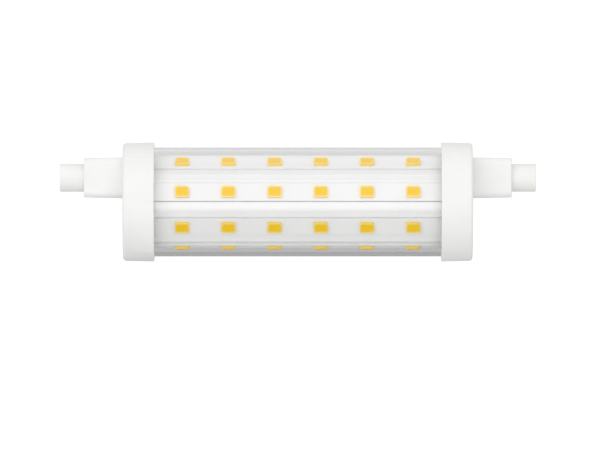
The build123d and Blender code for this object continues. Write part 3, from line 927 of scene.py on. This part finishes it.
class LAMP_OT_core(bpy.types.Operator):
    """Octagonal extrusion with a channel along each flat"""

    bl_idname = "lamp.core"
    bl_label = "Core"

    def execute(self, context):
        sizes = context.scene.lamp_core
        half_turn = pi / len(ROWS)
        half_flat = sizes.height * tan(half_turn)
        half_channel = sizes.channel_width / 2
        channel_floor = sizes.height - sizes.channel_depth
        edge_segments, channel_points = 3, 4
        clear_selection()
        bpy.ops.mesh.primitive_plane_add(size=2, location=(0, 0, sizes.height))
        core = named("core_extrusion")
        core.scale = (CORE_END, half_flat, 1)
        settle(core)
        # One flat: cut along both sides of its channel, whose floor is then pushed in
        edit(core)
        for side in (-half_channel, half_channel):
            bpy.ops.mesh.select_all(action="SELECT")
            bpy.ops.mesh.bisect(plane_co=(0, side, 0), plane_no=(0, 1, 0))
        pick("FACE", lambda face: abs(face.calc_center_median().y) < half_channel / 2)
        extrude((0, 0, -sizes.channel_depth))
        # The channel runs out at both ends
        pick("FACE", lambda face: abs(face.normal.x) > FLAT)
        bpy.ops.mesh.delete(type="FACE")
        # The other seven flats
        bpy.ops.mesh.select_all(action="SELECT")
        bpy.ops.mesh.spin(
            steps=len(ROWS), dupli=True, angle=2 * pi, center=(0, 0, 0), axis=(1, 0, 0)
        )
        heal()
        # The long edges, with the offset that gives them their radius
        corner_height = hypot(sizes.height, half_flat)
        bevel_where(
            lambda edge: abs(run_of(edge).x) > CORE_END
            and all(abs(off_axis(vertex.co) - corner_height) < ROOM for vertex in edge.verts),
            sizes.edge * tan(half_turn), edge_segments,
        )
        clear_selection()
        # Bore, with as many points round it as the outside has
        bore_radius = (sizes.height - sizes.wall) / (sizes.height / corner_height)
        bpy.ops.mesh.primitive_cylinder_add(
            vertices=len(ROWS), radius=bore_radius, depth=2 * CORE_END, end_fill_type="NOTHING",
            rotation=(0, pi / 2, 0),
        )
        bore = named("bore")
        bore.rotation_euler = (half_turn, 0, 0)
        settle(bore)
        edit(bore)
        pick("EDGE", lambda edge: at(run_of(edge).x, 0))
        bpy.ops.mesh.subdivide(number_cuts=edge_segments + channel_points)
        join(core, bore)
        for end in (-CORE_END, CORE_END):
            bridge_across(end, (bore_radius + channel_floor) / 2)
        heal()
        clear_selection()
        core.matrix_world = row_turn(1)
        settle(core)
        smooth(core)
        stands_for(core, "white_core", "core")
        return {"FINISHED"}


class LAMP_OT_boards(bpy.types.Operator):
    """LED boards in the core's channels"""

    bl_idname = "lamp.boards"
    bl_label = "LED boards"

    def execute(self, context):
        sizes = context.scene.lamp_core
        channel_floor = sizes.height - sizes.channel_depth
        board = add_block(
            "board_master", channel_floor, sizes.board_thickness, 2 * BOARD_END,
            sizes.board_width,
        )
        edit(board)
        bevel_where(anything, sizes.board_edge, segments=2)
        smooth(board)
        on_all_rows(board, "board_strip", "white_board", "led_board")
        return {"FINISHED"}


class LAMP_OT_leds(bpy.types.Operator):
    """LEDs: housings with a cup, and the phosphor that fills it"""

    bl_idname = "lamp.leds"
    bl_label = "LEDs"

    def execute(self, context):
        sizes = context.scene.lamp_led
        core = context.scene.lamp_core
        base = core.height - core.channel_depth + core.board_thickness
        top = base + sizes.height
        for master, name, slot, node in (
            (self.housing(sizes, base, top), "led_bodies", "led_housing", "led_housings"),
            (self.phosphor(sizes, top), "led_windows", "yellow_phosphor", "led_phosphor"),
        ):
            smooth(master)
            self.repeat(master, sizes)
            on_all_rows(master, name, slot, node)
        return {"FINISHED"}

    def housing(self, sizes, base, top):
        """A block with one corner cut, and a cup pushed down into its top."""
        half_length, half_width = sizes.length / 2, sizes.width / 2
        housing = add_block("housing_master", base, sizes.height, sizes.length, sizes.width)
        edit(housing)
        marked = all_corners(
            lambda point: at(point.x, half_length) and at(point.y, half_width)
        )
        bevel_where(marked, sizes.mark, segments=1)
        # x and y add up to this along the marked corner's cut, and to less at the plain ones
        marked_sum = half_length + half_width - sizes.mark
        bevel_where(
            lambda edge: upright(edge) and sum(edge.verts[0].co.xy) < marked_sum - ROOM,
            sizes.corner, segments=1,
        )
        bevel_where(all_corners(lambda point: at(point.z, top)), sizes.edge, segments=2)
        pick("FACE", lambda face: face.normal.z > FLAT and at(face.calc_center_median().z, top))
        bpy.ops.mesh.delete(type="FACE")
        join(housing, self.cup(sizes, top))
        brim_x, brim_y = sizes.window_length / 2 + NEAR, sizes.window_width / 2 + NEAR
        inside = lambda point: abs(point.x) < brim_x and abs(point.y) < brim_y
        bridge_flat(
            lambda point: at(point.z, top) and inside(point),
            lambda point: at(point.z, top) and not inside(point),
            (0, 0, MM),
        )
        heal()
        return housing

    def cup(self, sizes, top):
        """The cup's own skin: the window's outline, pushed down and drawn in, with a floor."""
        clear_selection()
        bpy.ops.mesh.primitive_plane_add(size=1, location=(0, 0, top))
        cup = named("cup")
        cup.scale = (sizes.window_length, sizes.window_width, 1)
        settle(cup)
        edit(cup)
        bpy.ops.mesh.bevel(
            offset=sizes.window_corner, offset_type="OFFSET", segments=1, affect="VERTICES"
        )
        bpy.ops.mesh.delete(type="ONLY_FACE")
        pick("EDGE", anything)
        extrude((0, 0, -sizes.window_depth))
        self.draw_in(sizes, top, sizes.window_depth)
        bpy.ops.mesh.edge_face_add()
        return cup

    def phosphor(self, sizes, top):
        """A plate of the cup's outline with a slight hollow in its middle."""
        plate = add_block(
            "fill_master", top - sizes.window_depth, sizes.window_depth - sizes.dip,
            sizes.window_length, sizes.window_width,
        )
        edit(plate)
        bevel_where(upright, sizes.window_corner, segments=1)
        for depth in (sizes.window_depth, sizes.dip):
            pick("VERT", lambda vertex: at(vertex.co.z, top - depth))
            self.draw_in(sizes, top, depth)
        # Each ring of the hollow falls less than the one round it
        middle_area = MM * MM
        for ring in (3, 2, 1):
            pick("FACE", lambda face: face.normal.z > FLAT and face.calc_area() > middle_area)
            bpy.ops.mesh.inset(thickness=sizes.hollow_step, depth=-ring * sizes.hollow_drop)
        return plate

    def draw_in(self, sizes, top, depth):
        """Scales the selected outline to the cup's own at a depth under the housing's top."""
        lean = 2 * sizes.cup_draft * depth
        scale_about(
            (0, 0, top - depth), (1 - lean / sizes.window_length, 1 - lean / sizes.window_width, 1)
        )

    def repeat(self, piece, sizes):
        """Repeats one LED's piece along its board."""
        modify(
            piece, "ARRAY", count=sizes.count, use_relative_offset=False,
            use_constant_offset=True, constant_offset_displace=(sizes.pitch, 0, 0),
        )
        piece.location.x = -sizes.pitch * (sizes.count - 1) / 2
        settle(piece)


class LAMP_OT_stage(bpy.types.Operator):
    """Floor, lights, surroundings and camera"""

    bl_idname = "lamp.stage"
    bl_label = "Stage"

    def execute(self, context):
        scene = context.scene
        sizes = scene.lamp_stage
        clear_selection()
        bpy.ops.mesh.primitive_plane_add(
            size=2 * sizes.floor_radius, location=(0, 0, -sizes.floor_drop)
        )
        floor = named("floor")
        wear(floor, pale_floor(scene.lamp_colours.floor, sizes.floor_radius))
        floor.visible_glossy = False
        floor.visible_transmission = False

        self.surroundings(scene)
        for light in LIGHTS:
            self.softbox(*light)

        bpy.ops.object.camera_add(
            location=(sizes.aim_side, -sizes.distance, sizes.aim_height), rotation=(pi / 2, 0, 0)
        )
        camera = context.object
        camera.name = "photo_camera"
        camera.data.sensor_width = SENSOR_WIDTH
        camera.data.lens = SENSOR_WIDTH * sizes.distance / sizes.view_width
        camera.data.clip_end = CAMERA_REACH
        scene.camera = camera
        scene.view_settings.view_transform = "Standard"
        scene.view_settings.look = "None"
        return {"FINISHED"}

    def surroundings(self, scene):
        """White behind the lamp, a soft room that lights it and a darker one that it mirrors."""
        world = bpy.data.worlds.new("studio_room")
        scene.world = world
        world.use_nodes = True
        nodes, links = world.node_tree.nodes, world.node_tree.links
        nodes.clear()
        direction = nodes.new("ShaderNodeTexCoord")
        split = nodes.new("ShaderNodeSeparateXYZ")
        links.new(direction.outputs["Generated"], split.inputs["Vector"])
        path = nodes.new("ShaderNodeLightPath")

        def graded(axis, levels):
            """Brightness by how far a direction points along an axis."""
            span = nodes.new("ShaderNodeMapRange")
            span.inputs["From Min"].default_value = -1
            span.inputs["From Max"].default_value = 1
            links.new(split.outputs[axis], span.inputs["Value"])
            ramp = nodes.new("ShaderNodeValToRGB")
            elements = ramp.color_ramp.elements
            while len(elements) < len(levels):
                elements.new(0.5)
            for element, (spot, value) in zip(elements, levels):
                element.position = spot
                element.color = (value, value, value, 1)
            links.new(span.outputs["Result"], ramp.inputs["Fac"])
            return ramp.outputs["Color"]

        def lit(levels):
            """Surroundings that are graded from below to above."""
            background = nodes.new("ShaderNodeBackground")
            links.new(graded("Z", levels), background.inputs["Color"])
            return background.outputs["Background"]

        def either(factor, otherwise, when):
            choice = nodes.new("ShaderNodeMixShader")
            links.new(factor, choice.inputs["Fac"])
            links.new(otherwise, choice.inputs[1])
            links.new(when, choice.inputs[2])
            return choice.outputs["Shader"]

        backdrop = nodes.new("ShaderNodeBackground")
        backdrop.inputs["Color"].default_value = (1, 1, 1, 1)
        backdrop.inputs["Strength"].default_value = BACKDROP_STRENGTH
        mirrored = either(graded("Y", FAR_SHARE), lit(ROOM_AHEAD), lit(ROOM_BEHIND))
        room = either(path.outputs["Is Diffuse Ray"], mirrored, lit(SOFT_ROOM))
        surface = either(path.outputs["Is Camera Ray"], room, backdrop.outputs["Background"])
        output = nodes.new("ShaderNodeOutputWorld")
        links.new(surface, output.inputs["Surface"])

    def softbox(self, name, location, size, power):
        """A large soft light that faces the lamp."""
        bpy.ops.object.light_add(type="AREA", location=location)
        light = bpy.context.object
        light.name = light.data.name = name
        light.data.shape = "RECTANGLE"
        light.data.size, light.data.size_y = size
        light.data.energy = power
        light.rotation_euler = (-Vector(location)).to_track_quat("-Z", "Y").to_euler()
        light.visible_camera = False


class LAMP_PT_panel(bpy.types.Panel):
    """Steps that build the lamp, and its sizes and colours"""

    bl_idname = "LAMP_PT_panel"
    bl_label = "Linear LED lamp"
    bl_space_type = "VIEW_3D"
    bl_region_type = "UI"
    bl_category = "LED Lamp"

    def draw(self, context):
        for operator in OPERATORS:
            self.layout.operator(operator.bl_idname)
        for name, group in SETTINGS.items():
            box = self.layout.box()
            for field in group.__annotations__:
                box.prop(getattr(context.scene, name), field)


OPERATORS = (
    LAMP_OT_finishes,
    LAMP_OT_caps,
    LAMP_OT_sleeves,
    LAMP_OT_contacts,
    LAMP_OT_core,
    LAMP_OT_boards,
    LAMP_OT_leds,
    LAMP_OT_tube,
    LAMP_OT_stage,
)


def register():
    for item in (*SETTINGS.values(), *OPERATORS, LAMP_PT_panel):
        bpy.utils.register_class(item)
    for name, group in SETTINGS.items():
        setattr(bpy.types.Scene, name, PointerProperty(type=group))


def unregister():
    for name in SETTINGS:
        delattr(bpy.types.Scene, name)
    for item in reversed((*SETTINGS.values(), *OPERATORS, LAMP_PT_panel)):
        bpy.utils.unregister_class(item)


def main():
    register()
    for operator in OPERATORS:
        getattr(bpy.ops.lamp, operator.bl_idname.removeprefix("lamp."))()


if __name__ == "__main__":
    main()
